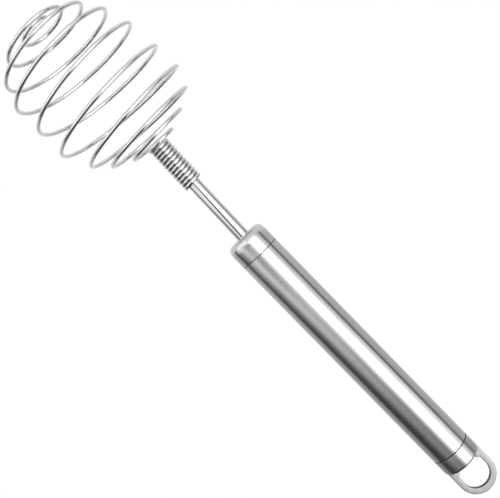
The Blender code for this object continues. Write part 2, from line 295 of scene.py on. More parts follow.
def leaning_card(tree, azimuth, height):
    """1 on the card, which leans to the right as it rises, and 0 away from it."""
    line = math_node(tree, "SUBTRACT", azimuth, math_node(tree, "MULTIPLY", height, CARD_LEAN))
    off_line = math_node(tree, "SUBTRACT", line, radians(CARD_AZIMUTH))
    half, far = radians(CARD_HALF_WIDTH), radians(CARD_HALF_WIDTH + CARD_EDGE)
    across = range_node(tree, math_node(tree, "ABSOLUTE", off_line), 1, 0, half, far)
    half, far = sin(radians(CARD_HALF_HEIGHT)), sin(radians(CARD_FADED_HEIGHT))
    upward = range_node(tree, math_node(tree, "ABSOLUTE", height), 1, 0, half, far)
    return math_node(tree, "MULTIPLY", across, upward)


def make_world():
    """White to the camera, and to the steel the room with its cards."""
    world = bpy.data.worlds.new("studio room")
    world.use_nodes = True
    tree = world.node_tree
    tree.nodes.clear()
    direction = add_node(tree, "ShaderNodeTexCoord")
    parts = add_node(tree, "ShaderNodeSeparateXYZ")
    tree.links.new(direction.outputs["Generated"], parts.inputs[0])
    x, y, z = parts.outputs
    azimuth = math_node(tree, "ARCTAN2", x, math_node(tree, "MULTIPLY", y, -1))
    room = room_walls(tree, range_node(tree, azimuth, 0, 1, -pi, pi), z)
    room = mix_node(tree, leaning_card(tree, azimuth, z), room, CARD_GREY)
    seen = add_node(tree, "ShaderNodeLightPath")
    sky = mix_node(tree, seen.outputs["Is Camera Ray"], room, 1.0)
    background = add_node(tree, "ShaderNodeBackground")
    tree.links.new(sky, background.inputs["Color"])
    output = add_node(tree, "ShaderNodeOutputWorld")
    tree.links.new(background.outputs["Background"], output.inputs["Surface"])
    return world


bpy.context.scene.world = make_world()
bpy.context.scene.view_settings.view_transform = "Standard"
print("world nodes:", len(bpy.context.scene.world.node_tree.nodes))

# %% [markdown]
# Three soft boxes light the whisk from about a metre away. The key box stands upright at the left
# of the camera, so its edges run parallel to the handle, and it draws the broad white band along
# it. Two lower ones, left and right, light the ball and give each wire its white core. Bright
# patches in the room could draw the same bands, but a lamp gives less noise, so each box is an
# area light. It is placed by azimuth and by its rise over the whisk's middle, and its power is
# worked out from how bright its face should look.

# %% Lamps
STUDIO_CENTRE = Vector((0, 0, -0.148))
BOX_DISTANCE = 1.0
# Azimuth in degrees, rise, width and height in metres, and brightness, 1 for a white face.
BOXES = {
    "key_box": (-26, 0.36, 0.76, 0.84, 1.55),
    "low_left_box": (-21, -0.21, 1.00, 0.30, 0.45),
    "low_right_box": (42, -0.635, 1.35, 0.73, 0.60),
}


def soft_box(name, azimuth, rise, width, height, brightness):
    """An upright area light that faces the whisk."""
    lamp = bpy.data.lights.new(name, "AREA")
    lamp.shape = "RECTANGLE"
    lamp.size = width
    lamp.size_y = height
    lamp.energy = brightness * pi * width * height
    holder = new_object(name, lamp)
    outward = Vector((sin(radians(azimuth)), -cos(radians(azimuth)), 0))
    upright = Vector((0, 0, 1))
    turn = Matrix((upright.cross(outward), upright, outward)).transposed().to_4x4()
    place = STUDIO_CENTRE + outward * BOX_DISTANCE + upright * rise
    holder.matrix_world = Matrix.Translation(place) @ turn
    holder.visible_camera = False
    return holder


for name, numbers in BOXES.items():
    box = soft_box(name, *numbers)
    print(name, "power", round(box.data.energy, 2), "W")

# %% [markdown]
# The whisk hangs a metre above a floor of matt pale paint. To the camera most of it is as white as
# the room, so no horizon line shows. The rest is the real paint, which keeps the whisk's shadow,
# too soft to see from a metre away. The steel sees the floor pale in front and again far off, and
# a shaded patch below and behind, where less light falls on it.

# %% Floor
FLOOR_DROP = 1.0
FLOOR_HALF = 4.0
FLOOR_PAINT = (0.80, 0.80, 0.80)
FLOOR_ROUGHNESS = 0.9
FLOOR_FRONT = 0.84
FLOOR_SHADED = 0.36
FLOOR_FAR = 0.86
SHADED_PLACE = (-0.15, 0.7, 0.0)
# Where one shade goes over into the next: out from the patch, by depth, and out from the whisk.
SHADED_REACH = (0.2, 0.8)
BEHIND_REACH = (-0.5, 0.5)
FAR_REACH = (1.2, 2.8)
CAMERA_SHARE = 0.85
CAMERA_WHITE = 1.12


def floor_paint():
    """Matt pale paint that looks white to the camera and pale to the steel."""
    material = bpy.data.materials.new("pale floor")
    material.use_nodes = True
    tree = material.node_tree
    paint = tree.nodes["Principled BSDF"]
    paint.inputs["Base Color"].default_value = (*FLOOR_PAINT, 1)
    paint.inputs["Roughness"].default_value = FLOOR_ROUGHNESS
    place, _, depth, _ = object_place(tree)
    from_patch = distance_node(tree, place, SHADED_PLACE)
    near = range_node(tree, from_patch, FLOOR_SHADED, FLOOR_FRONT, *SHADED_REACH)
    far = mix_node(tree, range_node(tree, depth, 0, 1, *BEHIND_REACH), FLOOR_FRONT, FLOOR_FAR)
    away = range_node(tree, distance_node(tree, place, (0, 0, 0)), 0, 1, *FAR_REACH)
    shown = mix_node(tree, away, near, far)
    seen = add_node(tree, "ShaderNodeLightPath")
    camera_ray, glossy_ray = seen.outputs["Is Camera Ray"], seen.outputs["Is Glossy Ray"]
    white = add_node(tree, "ShaderNodeEmission")
    tree.links.new(mix_node(tree, camera_ray, shown, CAMERA_WHITE), white.inputs["Color"])
    mix = add_node(tree, "ShaderNodeMixShader")
    camera_share = math_node(tree, "MULTIPLY", camera_ray, CAMERA_SHARE)
    tree.links.new(math_node(tree, "MAXIMUM", camera_share, glossy_ray), mix.inputs["Fac"])
    tree.links.new(paint.outputs["BSDF"], mix.inputs[1])
    tree.links.new(white.outputs["Emission"], mix.inputs[2])
    tree.links.new(mix.outputs["Shader"], tree.nodes["Material Output"].inputs["Surface"])
    return material


def make_floor():
    """A flat pale floor below the hanging whisk."""
    mesh = bpy.data.meshes.new("floor")
    corners = [(-1, -1), (1, -1), (1, 1), (-1, 1)]
    places = [(x * FLOOR_HALF, y * FLOOR_HALF, 0) for x, y in corners]
    mesh.from_pydata(places, [], [(0, 1, 2, 3)])
    mesh.materials.append(floor_paint())
    floor_piece = new_object("floor", mesh)
    floor_piece.location.z = cad_box[0].z - FLOOR_DROP
    return floor_piece


studio_floor = make_floor()
print("floor at", round(studio_floor.location.z, 3), "m")

# %% [markdown]
# Brushed steel. The handle and its caps are finished on a lathe with an abrasive belt, which
# leaves hair-fine lines round the handle. A picture of brushing could be wrapped round it, but its
# seam would show. Here the lines are noise that changes quickly down the handle and slowly round
# it. On the caps' end faces they run as rings, so the quick direction is the height plus the
# distance from the axis. The same noise moves the roughness and a very shallow bump. The end cap
# is a little darker and duller than the rest.

# %% Brushed steel
# The noise has so many cells in a metre, for the lines and for a slow change of tone.
FINE_LINES = 7000
COARSE_LINES = 1400
SLOW_TONE = 60
LINE_DEPTH = 0.000002


def new_material(name, colour, roughness):
    """A metal material with its plain values on the shader's own sockets."""
    material = bpy.data.materials.new(name)
    material.use_nodes = True
    shader = material.node_tree.nodes["Principled BSDF"]
    shader.inputs["Base Color"].default_value = (*colour, 1)
    shader.inputs["Metallic"].default_value = 1.0
    shader.inputs["Roughness"].default_value = roughness
    return material, material.node_tree, shader


def noise_node(tree, vector, scale, detail):
    """Noise read at a vector."""
    node = add_node(tree, "ShaderNodeTexNoise")
    node.inputs["Scale"].default_value = scale
    node.inputs["Detail"].default_value = detail
    tree.links.new(vector, node.inputs["Vector"])
    return node.outputs["Fac"]


def stretched(tree, x, y, z, factors):
    """A vector whose three parts are each made longer or shorter."""
    node = add_node(tree, "ShaderNodeCombineXYZ")
    for socket, value, factor in zip(node.inputs, (x, y, z), factors):
        tree.links.new(math_node(tree, "MULTIPLY", value, factor), socket)
    return node.outputs[0]


def blend_noise(tree, first, second, share):
    """Two noises in one value; share is the first one's part."""
    part = math_node(tree, "MULTIPLY", first, share)
    rest = math_node(tree, "MULTIPLY", second, 1 - share)
    return math_node(tree, "ADD", part, rest)


def tint(tree, value, dark, light):
    """A colour between two, by a value from 0 to 1."""
    node = add_node(tree, "ShaderNodeMixRGB")
    node.inputs["Color1"].default_value = (*dark, 1)
    node.inputs["Color2"].default_value = (*light, 1)
    tree.links.new(value, node.inputs["Fac"])
    return node.outputs["Color"]


def toned(tree, tone, colour, dark, light):
    """The colour, from dark to light times as bright by a tone from 0 to 1."""
    return tint(tree, tone, [dark * part for part in colour], [light * part for part in colour])


def bump(tree, shader, height, depth):
    """A shallow bump: depth is how deep the height's full range cuts, in metres."""
    node = add_node(tree, "ShaderNodeBump")
    node.inputs["Strength"].default_value = 1.0
    node.inputs["Distance"].default_value = depth
    tree.links.new(height, node.inputs["Height"])
    tree.links.new(node.outputs["Normal"], shader.inputs["Normal"])


def plug(tree, shader, colour, rough):
    """Lets a colour and a roughness drive the shader."""
    tree.links.new(colour, shader.inputs["Base Color"])
    tree.links.new(rough, shader.inputs["Roughness"])


def brushed_steel(name, colour, low, high):
    """Fine lines round the handle, over a slow change of tone."""
    material, tree, shader = new_material(name, colour, (low + high) / 2)
    place, x, y, z = object_place(tree)
    across = math_node(tree, "MULTIPLY", x, x)
    deep = math_node(tree, "MULTIPLY", y, y)
    from_axis = math_node(tree, "POWER", math_node(tree, "ADD", across, deep), 0.5)
    down = math_node(tree, "ADD", z, from_axis)
    fine = noise_node(tree, stretched(tree, x, y, down, (0.03, 0.03, 1)), FINE_LINES, 2)
    coarse = noise_node(tree, stretched(tree, x, y, down, (0.10, 0.10, 1)), COARSE_LINES, 3)
    lines = blend_noise(tree, fine, coarse, 0.6)
    tone = blend_noise(tree, lines, noise_node(tree, place, SLOW_TONE, 2), 0.7)
    shown = toned(tree, range_node(tree, tone, 0, 1), colour, dark=0.955, light=1.045)
    plug(tree, shader, shown, range_node(tree, lines, low, high))
    bump(tree, shader, lines, LINE_DEPTH)
    shader.inputs["Anisotropic"].default_value = 0.5
    shader.inputs["Anisotropic Rotation"].default_value = 0.25
    tangent = add_node(tree, "ShaderNodeTangent", direction_type="RADIAL", axis="Z")
    tree.links.new(tangent.outputs["Tangent"], shader.inputs["Tangent"])
    return material


brushed = brushed_steel("brushed steel", (0.66, 0.66, 0.655), 0.14, 0.22)
brushed_cap = brushed_steel("brushed end cap", (0.57, 0.57, 0.565), 0.20, 0.28)
print(brushed.name, "has", len(brushed.node_tree.nodes), "nodes")

# %% [markdown]
# Bright steel for the rod and the wire. Both are drawn through a die, which leaves faint straight
# lines along them. The rod runs down Z, so its lines are noise that changes slowly with height.
# The wire bends everywhere, so it carries its own map: one coordinate along the wire and one round
# it. The close winding's colour is darkened on the upper and lower side of each turn, by the
# coordinate that goes round: painted shade in the hollows between the neck's turns.

# %% Drawn steel
# Where the painted shade between the neck's turns starts to thin out and where it ends, as shares
# of the way round the wire.
TURN_SHADE_REACH = (0.08, 0.30)


def rod_steel():
    """Polished rod with faint straight lines along it."""
    material, tree, shader = new_material("polished rod", (0.74, 0.74, 0.735), 0.05)
    place, x, y, z = object_place(tree)
    lines = noise_node(tree, stretched(tree, x, y, z, (1, 1, 0.02)), scale=3000, detail=3)
    smears = noise_node(tree, place, scale=120, detail=3)
    rough = range_node(tree, blend_noise(tree, lines, smears, 0.5), 0.03, 0.07)
    plug(tree, shader, tint(tree, smears, (0.70, 0.70, 0.695), (0.77, 0.77, 0.765)), rough)
    bump(tree, shader, lines, depth=0.0000005)
    return material


def wire_steel(name, shade_share):
    """Bright spring wire. Below 1, its upper and lower sides are darkened to that share: painted
    shade.
    """
    material, tree, shader = new_material(name, (0.79, 0.79, 0.785), 0.05)
    chart = add_node(tree, "ShaderNodeUVMap", uv_map="wire_chart").outputs["UV"]
    parts = add_node(tree, "ShaderNodeSeparateXYZ")
    tree.links.new(chart, parts.inputs[0])
    lines = noise_node(tree, stretched(tree, *parts.outputs, (0.5, 9, 1)), scale=4, detail=3)
    place = add_node(tree, "ShaderNodeTexCoord").outputs["Object"]
    smears = noise_node(tree, place, scale=150, detail=3)
    rough = range_node(tree, blend_noise(tree, lines, smears, 0.5), 0.03, 0.08)
    colour = tint(tree, smears, (0.76, 0.76, 0.755), (0.82, 0.82, 0.815))
    if shade_share < 1:
        # Painted shade between the turns: the upper and lower sides of the wire are darkened.
        from_top = math_node(tree, "SUBTRACT", parts.outputs["Y"], 0.5)
        unshaded = range_node(tree, math_node(tree, "ABSOLUTE", from_top), shade_share, 1, *TURN_SHADE_REACH)
        colour = mix_node(tree, 1.0, colour, unshaded, "MULTIPLY")
    plug(tree, shader, colour, rough)
    bump(tree, shader, lines, depth=0.000001)
    return material


rod_finish = rod_steel()
wire_finish = wire_steel("spring wire", 1)
# The close winding's wire carries painted shade between its turns.
neck_finish = wire_steel("close wound wire", 0.35)
print("drawn finishes:", rod_finish.name, wire_finish.name, neck_finish.name)

# %% [markdown]
# Satin steel for the loop's strap, and a duller one inside its eye, darkened there as painted
# shade. The strap's faces are tumbled to an even, soft sheen with no direction. The inside of the
# eye is painted dark, as painted shade. The seams of the handle are painted nearly black, as
# painted shade in the grooves. Plain steel is for the washer and nut inside. All four are one
# even grain with other numbers, so one helper makes them.

# %% Satin, dull and plain steel
def grained_steel(name, colour, low, high, scale, depth):
    """Steel with an even grain that has no direction."""
    material, tree, shader = new_material(name, colour, (low + high) / 2)
    place = add_node(tree, "ShaderNodeTexCoord").outputs["Object"]
    grain = noise_node(tree, place, scale, 4)
    slow = noise_node(tree, place, scale / 12, 2)
    rough = range_node(tree, blend_noise(tree, grain, slow, 0.5), low, high)
    plug(tree, shader, toned(tree, slow, colour, dark=0.94, light=1.05), rough)
    bump(tree, shader, grain, depth)
    return material


satin = grained_steel("satin strap", (0.48, 0.48, 0.475), 0.36, 0.46, 3500, 0.000002)
# The inside of the eye: dark as painted shade, and rougher than the strap.
eye_painted_shade = grained_steel("inside of the eye", (0.13, 0.13, 0.13), 0.45, 0.60, 3500, 0.000003)
# The seams' walls and floors, nearly black: painted shade in the grooves.
seam_shade = grained_steel("painted shade in the seams", (0.03, 0.03, 0.03), 0.60, 0.80, 3500, 0.000003)
plain = grained_steel("plain fixings", (0.50, 0.50, 0.50), 0.35, 0.45, 2500, 0.000003)
print("satin and dull finishes:", satin.name, eye_painted_shade.name, seam_shade.name, plain.name)

# %% [markdown]
# Turned pieces. The tube and the caps are solids of revolution, so each is a profile of radius and
# height turned about Z. The CAD does the same in 48 steps; here there are four times as many, and
# the arcs are finer, because a mirror finish shows every facet.

# %% Turning
TURNED_STEPS = 192
ARC_STEPS = 14


def arc(centre, radius, start_angle, end_angle):
    """Points along an arc, both ends included; angles in degrees."""
    points = []
    for i in range(ARC_STEPS + 1):
        angle = radians(start_angle + (end_angle - start_angle) * i / ARC_STEPS)
        points.append((centre[0] + radius * cos(angle), centre[1] + radius * sin(angle)))
    return points


def add_piece(mesh, material, body, node):
    """Puts a mesh in the scene as a piece that rides on a body and stands for a CAD node."""
    mesh.materials.append(material)
    piece = new_object(mesh.name, mesh)
    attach(piece, body)
    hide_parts(node)
    return piece


def shade(mesh, angle=35):
    """Smooth shading, but creased where faces meet at more than an angle in degrees."""
    mesh.shade_smooth()
    mesh.set_sharp_from_angle(angle=radians(angle))


def finished_mesh(shape, name, angle=35):
    """A shaded mesh from a bmesh, with its faces turned outward."""
    bmesh.ops.recalc_face_normals(shape, faces=shape.faces)
    mesh = bpy.data.meshes.new(name)
    shape.to_mesh(mesh)
    shape.free()
    shade(mesh, angle)
    return mesh


def turned_mesh(name, profile):
    """A closed profile of (r, z), outer side downward, turned about Z."""
    shape = bmesh.new()
    rings = []
    for radius, height in profile:
        if radius == 0:
            rings.append([shape.verts.new((0, 0, height))])
            continue
        ring = []
        for i in range(TURNED_STEPS):
            angle = 2 * pi * i / TURNED_STEPS
            ring.append(shape.verts.new((radius * cos(angle), radius * sin(angle), height)))
        rings.append(ring)
    pairs = list(zip(rings, rings[1:] + rings[:1]))
    if len(rings[0]) == 1 or len(rings[-1]) == 1:
        pairs = pairs[:-1]
    for upper, lower in pairs:
        for i in range(TURNED_STEPS):
            j = (i + 1) % TURNED_STEPS
            corners = [upper[i % len(upper)], lower[i % len(lower)]]
            corners += [lower[j % len(lower)], upper[j % len(upper)]]
            distinct = [c for k, c in enumerate(corners) if c not in corners[:k]]
            if len(distinct) > 2:
                shape.faces.new(distinct)
    return finished_mesh(shape, name)


print("turned pieces have", TURNED_STEPS, "steps")

# %% [markdown]
# Where the tube meets a cap there is a seam, a fine groove all round. A dark line could be painted
# on one long piece, but it would not cut the outline. So it is a real gap with broken edges, whose
# walls and floor are painted nearly black as shade: any face of a piece that lies inside a seam,
# below the handle's surface, is given the painted shade.

# %% Seams
CAD_SEAM_GAP = 0.0003
END_SEAM_GAP = 0.00044
FRONT_SEAM_GAP = 0.00028
SEAM_ROUND = 0.00007
# How far up or down a spigot the painted seam shade goes, counted in seam gaps from the cap's
# shoulder.
SEAM_SHADE_REACH = 1.5

end_seam_z = tube_high.z + CAD_SEAM_GAP / 2
front_seam_z = tube_low.z - CAD_SEAM_GAP / 2


def darken_seams(piece):
    """Gives the nearly black painted shade to a piece's faces inside a seam."""
    piece.data.materials.append(seam_shade)
    dark = 0
    for face in piece.data.polygons:
        in_end = abs(face.center.z - end_seam_z) < END_SEAM_GAP / 2 + SEAM_ROUND / 2
        in_front = abs(face.center.z - front_seam_z) < FRONT_SEAM_GAP / 2 + SEAM_ROUND / 2
        if (in_end or in_front) and face.center.xy.length < handle_radius - SEAM_ROUND / 2:
            face.material_index = 1
            dark += 1
    return dark


print("seams at", round(end_seam_z * 1000, 2), "and", round(front_seam_z * 1000, 2), "mm")

# %% [markdown]
# The tube is a plain sleeve, cut to length from drawn pipe, and its cut ends are just broken. It
# could be a cylinder given a thickness, but a turned profile gives its wall and edges at once. It
# stops half a seam short of both caps.

# %% Tube
TUBE_WALL = 0.0008


def make_tube():
    """The handle tube, open at both ends, with its edges just broken."""
    top = end_seam_z - END_SEAM_GAP / 2
    bottom = front_seam_z + FRONT_SEAM_GAP / 2
    inner = handle_radius - TUBE_WALL
    outer = handle_radius - SEAM_ROUND
    profile = [
        *arc((outer, top - SEAM_ROUND), SEAM_ROUND, 90, 0),
        *arc((outer, bottom + SEAM_ROUND), SEAM_ROUND, 0, -90),
        (inner, bottom),
        (inner, top),
    ]
    mesh = turned_mesh("tube_sleeve", profile)
    return add_piece(mesh, brushed, "handle", "handle_tube")


tube = make_tube()
print("tube faces:", len(tube.data.polygons), "of them dark:", darken_seams(tube))

# %% [markdown]
# The front cap is turned from bar, with a spigot that goes up inside the tube. Its side goes over
# into the round front edge by a gentle arc, which a single Bevel on the edge could not give. The
# rod's shoulder sinks into a shallow seat in its face, with a thin dark ring of clearance round
# it. The spigot has one ring more, a little past the seam, so that only what shows there is dark.

# %% Front cap
FIT = 0.0002
SPIGOT_WALL = 0.0024
FRONT_ROUND = 0.0028
FRONT_CROWN = 0.0120
CROWN_ANGLE = 12
ROD_SINK = 0.0015
FRONT_WALL = 0.0045
TANG_RADIUS = 0.0020

spigot_radius = handle_radius - TUBE_WALL - FIT


def front_edge():
    """The cap's outer side as (r, z): a gentle arc, then the round edge."""
    turn = radians(CROWN_ANGLE)
    round_centre_z = front_face_z + FRONT_ROUND
    crown_centre_z = round_centre_z + (FRONT_CROWN - FRONT_ROUND) * sin(turn)
    crown_centre_r = handle_radius - FRONT_CROWN
    round_centre_r = crown_centre_r + (FRONT_CROWN - FRONT_ROUND) * cos(turn)
    gentle = arc((crown_centre_r, crown_centre_z), FRONT_CROWN, 0, -CROWN_ANGLE)
    return gentle + arc((round_centre_r, round_centre_z), FRONT_ROUND, -CROWN_ANGLE, -90)[1:]


def make_front_cap():
    """Rounded cap with its spigot, the rod's seat and the tang's hole."""
    shoulder = front_seam_z - FRONT_SEAM_GAP / 2
    seat_radius = rod_radius + FIT
    hole_radius = TANG_RADIUS + FIT
    bore_radius = spigot_radius - SPIGOT_WALL
    profile = [
        (spigot_radius, front_high.z),
        (spigot_radius, shoulder + SEAM_SHADE_REACH * FRONT_SEAM_GAP),
        (spigot_radius, shoulder),
        *arc((handle_radius - SEAM_ROUND, shoulder - SEAM_ROUND), SEAM_ROUND, 90, 0),
        *front_edge(),
        (seat_radius + SEAM_ROUND, front_face_z),
        (seat_radius, front_face_z + SEAM_ROUND),
        (seat_radius, front_face_z + ROD_SINK),
        (hole_radius, front_face_z + ROD_SINK),
        (hole_radius, front_face_z + FRONT_WALL),
        (bore_radius, front_face_z + FRONT_WALL),
        (bore_radius, front_high.z),
    ]
    mesh = turned_mesh("rounded_front_cap", profile)
    return add_piece(mesh, brushed, "handle", "front_cap")


front_cap = make_front_cap()
print("front cap faces:", len(front_cap.data.polygons), "of them dark:", darken_seams(front_cap))

# %% [markdown]
# The end cap is shorter, with a small rounded rim. The loop's two legs stand in slots cut in its
# face. The slots are cut with a Boolean, because they are square holes in a round piece.

# %% End cap
END_RIM = 0.0015
END_WALL = 0.0036
SLOT_CLEARANCE = 0.00004
SLOT_DEPTH = 0.0010
LOOP_BAND = 0.0026
LOOP_TRIM = 0.0002
LOOP_ASIDE = -0.00025

loop_outer = loop_size.x / 2 - LOOP_TRIM
leg_x = loop_outer - LOOP_BAND / 2


def box_cutter(centre, size):
    """A closed box for a Boolean."""
    mesh = bpy.data.meshes.new("cutter")
    shape = bmesh.new()
    bmesh.ops.create_cube(shape, size=1.0)
    bmesh.ops.scale(shape, vec=size, verts=shape.verts)
    bmesh.ops.translate(shape, vec=centre, verts=shape.verts)
    shape.to_mesh(mesh)
    shape.free()
    return new_object("cutter", mesh)


def real_mesh(piece):
    """A new mesh of what an object's modifiers make of it."""
    bpy.context.view_layer.update()
    graph = bpy.context.evaluated_depsgraph_get()
    return bpy.data.meshes.new_from_object(piece.evaluated_get(graph))


def end_cap_profile():
    """The end cap's profile, from the middle of its face down to its spigot and back."""
    shoulder = end_seam_z + END_SEAM_GAP / 2
    bore_radius = spigot_radius - SPIGOT_WALL
    return [
        (0, end_face_z),
        *arc((handle_radius - END_RIM, end_face_z - END_RIM), END_RIM, 90, 0),
        *arc((handle_radius - SEAM_ROUND, shoulder + SEAM_ROUND), SEAM_ROUND, 0, -90),
        (spigot_radius, shoulder),
        (spigot_radius, shoulder - SEAM_SHADE_REACH * END_SEAM_GAP),
        (spigot_radius, end_low.z),
        (bore_radius, end_low.z),
        (bore_radius, end_face_z - END_WALL),
        (0, end_face_z - END_WALL),
    ]


def make_end_cap():
    """Cap with a small rim, a spigot and two slots for the loop's legs."""
    blank = new_object("blank", turned_mesh("blank", end_cap_profile()))
    slot = (LOOP_BAND + 2 * SLOT_CLEARANCE, loop_size.y + 2 * SLOT_CLEARANCE, 2 * SLOT_DEPTH)
    cutters = [box_cutter((side * leg_x + LOOP_ASIDE, 0, end_face_z), slot) for side in (-1, 1)]
    for cutter in cutters:
        cut = blank.modifiers.new("slot", "BOOLEAN")
        cut.operation = "DIFFERENCE"
        cut.solver = "EXACT"
        cut.object = cutter
    mesh = real_mesh(blank)
    mesh.name = "slotted_end_cap"
    for helper in (blank, *cutters):
        bpy.data.objects.remove(helper, do_unlink=True)
    shade(mesh)
    return add_piece(mesh, brushed_cap, "handle", "end_cap")


end_cap = make_end_cap()
print("end cap faces:", len(end_cap.data.polygons), "of them dark:", darken_seams(end_cap))

# %% [markdown]
# The hanging loop is a flat strap bent to a D, nearly as wide as the handle. Its legs widen inward
# to a short foot where they meet the cap. It could be an outline with a thickness and a Bevel, but
# then all its edges would be equally round. Here a section with rounded corners and a barely
# crowned face is swept along stations from foot to foot, each with its own width. Its outer edge
# is rounder than the eye's, and the faces that look into the eye get the darker, duller steel,
# which is painted shade.

# %% Hanging loop
BEND_STEPS = 72
LEG_STEPS = 4
FOOT_STEPS = 6
FACE_STEPS = 8
CORNER_STEPS = 4
FOOT_FLARE = 0.0014
FOOT_BLOCK = 0.0032
FOOT_HEIGHT = 0.0018
BEND_EXTRA = 0.0004
OUTER_EDGE = 0.00028
EYE_EDGE = 0.00015
STRAP_CROWN = 0.00003
# Just enough to keep two stations apart where the width changes at once.
SMALL_STEP = 0.00002

bend_z = loop_high.z - loop_size.x / 2


def quarter_round(across, deep, radius, start_angle):
    """A quarter circle of the strap's section; the angle is in degrees."""
    points = []
    for i in range(CORNER_STEPS + 1):
        angle = radians(start_angle + 90 * i / CORNER_STEPS)
        points.append((across + radius * cos(angle), deep + radius * sin(angle)))
    return points


def strap_section(width):
    """The strap's section as (inward, y), from the middle of its width."""
    edge = loop_size.y / 2 - STRAP_CROWN
    first = OUTER_EDGE - width / 2
    last = width / 2 - EYE_EDGE
    face = []
    for i in range(1, FACE_STEPS):
        share = i / FACE_STEPS
        face.append((first + (last - first) * share, edge + STRAP_CROWN * 4 * share * (1 - share)))
    return [
        *quarter_round(first, OUTER_EDGE - edge, OUTER_EDGE, 180),
        *[(across, -deep) for across, deep in face],
        *quarter_round(last, EYE_EDGE - edge, EYE_EDGE, 270),
        *quarter_round(last, edge - EYE_EDGE, EYE_EDGE, 0),
        *reversed(face),
        *quarter_round(first, edge - OUTER_EDGE, OUTER_EDGE, 90),
    ]


def strap_stations():
    """From foot to foot: a point on the strap's outer side, the way out, and the strap's width."""
    leg = [(end_face_z - SLOT_DEPTH + SMALL_STEP, LOOP_BAND), (end_face_z + SMALL_STEP, LOOP_BAND)]
    leg.append((end_face_z + 2 * SMALL_STEP, LOOP_BAND + FOOT_FLARE))
    for i in range(FOOT_STEPS + 1):
        share = i / FOOT_STEPS
        height = end_face_z + FOOT_BLOCK + FOOT_HEIGHT * share
        leg.append((height, LOOP_BAND + FOOT_FLARE * (1 - share) ** 2))
    foot_top = leg[-1][0]
    for i in range(1, LEG_STEPS):
        leg.append((foot_top + (bend_z - foot_top) * i / LEG_STEPS, LOOP_BAND))
    right, left = Vector((1, 0, 0)), Vector((-1, 0, 0))
    stations = [(right * loop_outer + Vector((0, 0, z)), right, width) for z, width in leg]
    for i in range(BEND_STEPS + 1):
        angle = pi * i / BEND_STEPS
        outward = Vector((cos(angle), 0, sin(angle)))
        rise = sin(angle) * (loop_high.z - bend_z)
        outer_point = Vector((cos(angle) * loop_outer, 0, bend_z + rise))
        stations.append((outer_point, outward, LOOP_BAND + BEND_EXTRA * sin(angle) ** 2))
    stations += [(left * loop_outer + Vector((0, 0, z)), left, width) for z, width in reversed(leg)]
    return stations


def strap_mesh():
    """The section swept along the stations. Faces that look into the eye get the second, darker
    material as painted shade.
    """
    shape = bmesh.new()
    rings = []
    for outer_point, outward, width in strap_stations():
        ring = []
        for inward, y in strap_section(width):
            place = outer_point - outward * (inward + width / 2)
            ring.append(shape.verts.new((place.x + LOOP_ASIDE, y, place.z)))
        rings.append(ring)
    eye_start = CORNER_STEPS + FACE_STEPS
    eye_end = eye_start + 2 * CORNER_STEPS
    for ring, following in zip(rings, rings[1:]):
        for k in range(len(ring)):
            j = (k + 1) % len(ring)
            face = shape.faces.new((ring[k], ring[j], following[j], following[k]))
            in_eye = eye_start <= k <= eye_end
            # Material 1, painted shade, for faces that look into the eye above the cap's face.
            face.material_index = int(in_eye and face.calc_center_median().z > end_face_z)
    shape.faces.new(rings[0][::-1])
    shape.faces.new(rings[-1])
    return finished_mesh(shape, "strap_loop", angle=40)


loop = add_piece(strap_mesh(), satin, "handle", "hanging_loop")
loop.data.materials.append(eye_painted_shade)
# Faces painted dark as shade inside the eye.
dull = sum(face.material_index for face in loop.data.polygons)
print("loop faces:", len(loop.data.polygons), "of them dull:", dull)

# %% [markdown]
# The rod is one turned piece. It runs from inside the neck up to its shoulder in the front cap,
# and goes on as a thinner tang, where the washer and nut hold it. On a used whisk the rod is never
# quite true: on its way down it leans a little to the left, by little more than a millimetre at
# its end. The piece could be tilted as a whole, but then its tang would leave its hole, so the
# turned mesh is sheared instead, from inside the cap down.

# %% Rod
ROD_CHAMFER = 0.0004
LEAN = 0.0226
LEAN_FROM_Z = -0.1467


def lean(z):
    """How far sideways the rod and the neck stand at a height."""
    return LEAN * min(0.0, z - LEAN_FROM_Z)


def make_rod():
    """The polished rod with its tang."""
    shoulder = front_face_z + ROD_SINK - CAD_SEAM_GAP
    profile = [
        (0, rod_high.z),
        (TANG_RADIUS - ROD_CHAMFER, rod_high.z),
        (TANG_RADIUS, rod_high.z - ROD_CHAMFER),
        (TANG_RADIUS, shoulder),
        (rod_radius, shoulder),
        (rod_radius, rod_low.z + ROD_CHAMFER),
        (rod_radius - ROD_CHAMFER, rod_low.z),
        (0, rod_low.z),
    ]
    mesh = turned_mesh("polished_rod", profile)
    for vertex in mesh.vertices:
        vertex.co.x += lean(vertex.co.z)
    return add_piece(mesh, rod_finish, "handle", "shaft_rod")


rod = make_rod()
print("rod leans", round(lean(rod_low.z) * 1000, 2), "mm at its lower end")

# %% [markdown]
# The wire is one line from the curl at the tip, up round the ball, and on round the rod's end as
# the neck. It could be drawn by hand over the photograph, but a formula keeps its turns round: it
# gives the wire's centre at any turn. In the ball, radius and height follow a slightly fuller
# circle, and the turns lie closer near both ends. In the neck each turn touches the next. The CAD
# follows the same formula with fewer, looser turns in the neck.
#
# A wire ball that springs and is washed up is never quite true. Three short lists bend the line:
# for each whole turn down from the neck they say how far it stands to the side, outward and
# upward, in millimetres. Between the turns a smooth curve joins the numbers. The turns also tip,
# down toward the camera near the neck, and down away from it near the tip.

